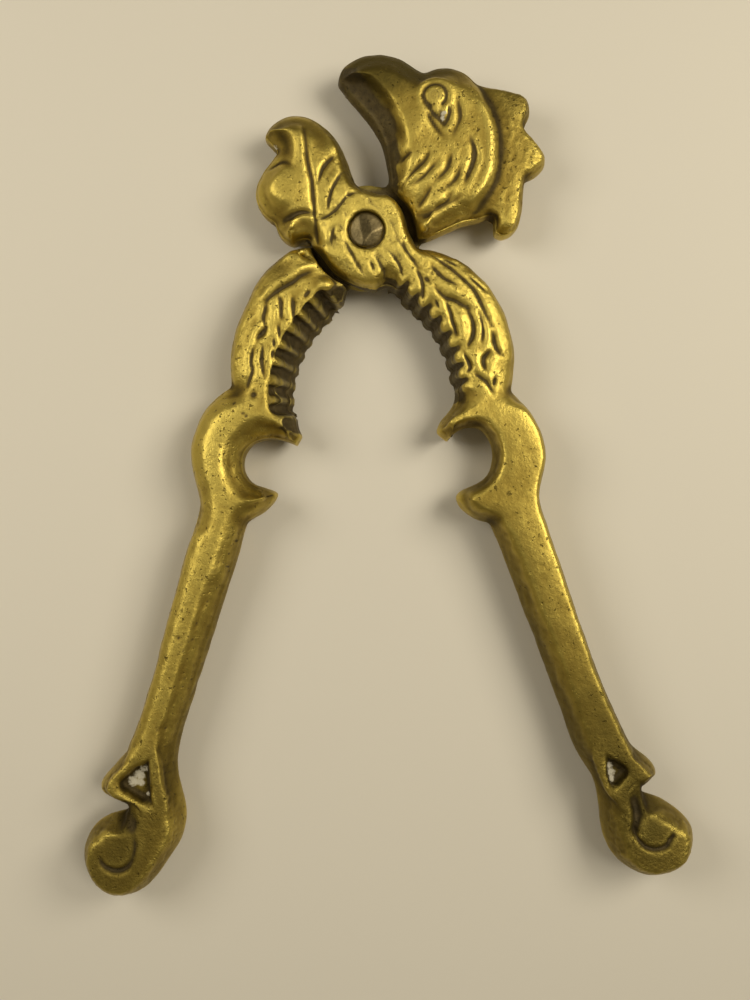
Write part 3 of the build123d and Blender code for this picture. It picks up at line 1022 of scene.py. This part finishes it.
    def jaw(self, work):
        work.lobe((-10.4, -3.2), (2.6, 2.2), 0, -1.3)
        turn = np.radians(np.arange(-120, 121, 30))
        work.lobe((-7.2, -9.4), (1.5, 1.3), 0, 0.5)
        work.groove(np.column_stack([-7.2 + 1.6 * np.cos(turn), -9.4 + 1.5 * np.sin(turn)]),
                    0.35, 0.35, 0.7)
        work.groove([(-17.7, -12.6), (-16.3, -11.2), (-14.6, -10.1), (-12.9, -9.2), (-11.7, -8.2),
                     (-10.2, -7.5)], 0.5, 0.45)
        work.ridge([(-18.6, -11.9), (-17, -10.3), (-15.2, -9.1), (-13.5, -8.2), (-12.2, -7.1),
                    (-10.8, -6.4), (-9.1, -5.9)], 0.3, 0.5)
        work.jaw_cuts((
                ([(-15.6, -11.7), (-15.2, -13.1), (-15.1, -15.8)], 0.5, 0.4),
                ([(-15.6, -17), (-15.4, -19.1)], 0.5, 0.4),
                ([(-16.5, -19.3), (-16.3, -20.7)], 0.4, 0.35),
                ([(-16.6, -21.4), (-16.6, -22.6)], 0.4, 0.35),
                ([(-17.5, -17.2), (-19.3, -19.1)], 0.7, 0.5),
                ([(-20.2, -21.1), (-20.5, -23.7), (-20.2, -24.9), (-21.2, -27.6)], 0.5, 0.4),
                ([(-13.1, -12.2), (-12.9, -15.6)], 0.45, 0.4),
                ([(-10.1, -10.8), (-11, -11.7)], 0.4, 0.4),
                ([(-17.8, -13.4), (-18.3, -15.6), (-18.0, -17.0)], 0.4, 0.4),
                ([(-18.4, -20.6), (-18.6, -23.4), (-18.2, -26.0)], 0.4, 0.4)))
        work.ridge([(-18.4, -16.1), (-19.8, -18.2), (-20.9, -21.4)], 0.35, 0.5)
        work.ridge([(-16.7, -12.6), (-16.6, -15.4), (-17.4, -18.2)], 0.25, 0.5)
        work.ridge([(-14.0, -12.0), (-14.1, -14.8)], 0.25, 0.5)

    def scroll(self, work):
        work.groove([(-47.0, -111.4), (-46.6, -112.2), (-45.5, -113.0), (-44.4, -113.3),
                     (-43.2, -113.2), (-42.2, -112.6), (-41.5, -111.6)], 0.9, 0.5)
        work.groove([(-41.4, -111.6), (-40.9, -109.4), (-41.0, -107.4)], 0.5, 0.45, 0.6)
        work.ridge([(-40.4, -112.6), (-40.0, -109.6), (-40.2, -106.6)], 0.3, 0.6)
        work.ridge([(-48.0, -107.9), (-46.2, -107.0), (-43.8, -107.4), (-42.2, -107.4)], 0.25, 0.5)
        work.groove([(-42.8, -103.6), (-41.6, -104.8), (-41.2, -106.2)], 0.9, 0.9)
        work.sunk_triangle([(-38.5, -93.6), (-44.4, -98.4), (-37.7, -102.4)], 2.0)
        for x, y, radius in ((-39.7, -95.6, 1.3), (-40.4, -96.8, 1.7), (-41.6, -97.9, 1.6),
                             (-40.2, -98.2, 1.0), (-39.0, -100.2, 0.6)):
            work.residue((x, y), radius)

    def wear_pits(self, work):
        work.pits([(-20, -29.2)], 0.6, 0.35)
        work.pits([(-23.5, -30.6), (-21.8, -32.5), (-21.2, -33), (-33.2, -72.2)], 0.4, 0.25)
        rng = np.random.default_rng(8)
        for _ in range(60):
            t = rng.uniform(0, 1)
            x = -24 - 16 * t + rng.normal(0, 1.6)
            y = -54 - 42 * t
            work.pits([(x, y)], rng.uniform(0.14, 0.3), rng.uniform(0.03, 0.10))


class NUTCRACKER_OT_rivet(Operator):
    """Make the hammered rivet that the two levers turn on"""
    bl_idname = "nutcracker.rivet"
    bl_label = "Rivet"

    def execute(self, context):
        obj = copy_of_node("pivot_rivet", "rivet_hammered")
        apply_modifier(obj, "REMESH", mode="VOXEL", voxel_size=0.18 * MM, adaptivity=0)
        points = points_of(obj.data)
        top = points[:, 2].max()
        radius = np.hypot(points[:, 0], points[:, 1])
        cap = smoothstep(top - 0.8, top - 0.1, points[:, 2])
        x, y = points[:, 0], points[:, 1]
        facet = np.minimum.reduce([0.30 * (x + 0.9) + 0.06 * y,
                                   -0.34 * (x - 0.2) + 0.30 * (y + 1.4),
                                   -0.18 * (x - 0.9) - 0.05 * y, np.zeros_like(x)])
        points[:, 2] += cap * (np.maximum(facet, -0.8) - 0.10 * (radius / RIVET_RADIUS) ** 2)
        put_points(obj.data, spread(points, edges_of(obj.data), 2))
        put_out(obj, "pivot_rivet", "front", dark_steel("rivet_steel"))
        return {"FINISHED"}


class NUTCRACKER_OT_stage(Operator):
    """Make the pale floor, the soft lamps and the camera"""
    bl_idname = "nutcracker.stage"
    bl_label = "Stage"

    def execute(self, context):
        sizes = context.scene.nutcracker_sizes
        colours = context.scene.nutcracker_colours
        bpy.ops.object.select_all(action="DESELECT")
        bpy.ops.mesh.primitive_circle_add(vertices=96, radius=1.3, fill_type="NGON",
                                          location=(0, 0, UNDERSIDE * MM - 0.00005))
        floor = context.active_object
        floor.name = "stage_floor"
        bpy.ops.object.mode_set(mode="EDIT")
        for rise, grow in ((0.01, 1.12), (0.05, 1.12), (0.12, 1.10), (0.20, 1.07), (0.30, 1.04),
                           (0.45, 1.02), (0.7, 1.0)):
            bpy.ops.mesh.region_to_loop()
            bpy.ops.mesh.extrude_edges_move(TRANSFORM_OT_translate={"value": (0, 0, rise)})
            bpy.ops.transform.resize(value=(grow, grow, 1), center_override=(0, 0, 0))
        bpy.ops.object.mode_set(mode="OBJECT")
        bpy.ops.object.shade_smooth_by_angle(angle=0.6)
        paint = Paint("stage_floor")
        folds = paint.noise(0.12, 2, 0.4, 7.0)
        floor.data.materials.append(paint.finish(
            Base_Color=(*colours.cloth, 1), Roughness=0.9,
            Normal=paint.bump(folds, 0.004, 0.5)))
        self.lamp("key", (0.20, 0.035, 0.24), 0.15, 0.46, (1.0, 0.93, 0.80))
        self.lamp("fill", (-0.20, 0.035, 0.24), 0.18, 0.36, (1.0, 0.94, 0.84))
        self.window((0.45, 0.10, 0.85), 0.70, (1.0, 0.93, 0.81))
        world = bpy.data.worlds.new("room")
        world.use_nodes = True
        back = next(n for n in world.node_tree.nodes if n.type == "BACKGROUND")
        back.inputs["Color"].default_value = (0.9, 0.82, 0.66, 1)
        back.inputs["Strength"].default_value = 0.24
        context.scene.world = world
        self.camera(sizes)
        context.scene.view_settings.view_transform = "Standard"
        return {"FINISHED"}

    def put(self, name, data, place):
        obj = bpy.data.objects.new(name, data)
        bpy.context.scene.collection.objects.link(obj)
        obj.location = place
        return obj

    def lamp(self, name, place, size, watts, colour):
        data = bpy.data.lights.new(name, "AREA")
        data.shape = "DISK"
        data.size = size
        data.energy = watts
        data.color = colour
        lamp = self.put(name, data, place)
        aim = lamp.location.copy()
        aim.y += 0.03
        lamp.rotation_euler = aim.to_track_quat("Z", "Y").to_euler()

    def window(self, way, strength, colour):
        """Even light from far off, which reaches the whole floor."""
        data = bpy.data.lights.new("window", "SUN")
        data.energy = strength
        data.angle = 0.35
        data.color = colour
        lamp = self.put("window", data, way)
        lamp.rotation_euler = lamp.location.to_track_quat("Z", "Y").to_euler()

    def camera(self, sizes):
        data = bpy.data.cameras.new("camera")
        data.lens = sizes.lens
        data.sensor_width = 36
        bpy.context.scene.camera = self.put(
            "camera", data, (0.0015, -0.0478, PARTING * MM + sizes.camera_height))


# ---- panel and running

OPERATORS = (NUTCRACKER_OT_stage, NUTCRACKER_OT_front_lever, NUTCRACKER_OT_rear_lever,
             NUTCRACKER_OT_rivet)


class NUTCRACKER_PT_panel(Panel):
    """Lists the nutcracker's sizes, colours and pieces"""
    bl_idname = "NUTCRACKER_PT_panel"
    bl_label = "Nutcracker"
    bl_space_type = "VIEW_3D"
    bl_region_type = "UI"
    bl_category = "Nutcracker"

    def draw(self, context):
        for group in (context.scene.nutcracker_sizes, context.scene.nutcracker_colours):
            for name in type(group).__annotations__:
                self.layout.prop(group, name)
        for operator in OPERATORS:
            self.layout.operator(operator.bl_idname)


CLASSES = (NutcrackerSizes, NutcrackerColours, *OPERATORS, NUTCRACKER_PT_panel)


def register():
    for cls in CLASSES:
        bpy.utils.register_class(cls)
    bpy.types.Scene.nutcracker_sizes = PointerProperty(type=NutcrackerSizes)
    bpy.types.Scene.nutcracker_colours = PointerProperty(type=NutcrackerColours)


def unregister():
    del bpy.types.Scene.nutcracker_colours
    del bpy.types.Scene.nutcracker_sizes
    for cls in reversed(CLASSES):
        bpy.utils.unregister_class(cls)


def main():
    register()
    bpy.ops.nutcracker.stage()
    bpy.ops.nutcracker.front_lever()
    bpy.ops.nutcracker.rear_lever()
    bpy.ops.nutcracker.rivet()


if __name__ == "__main__":
    main()
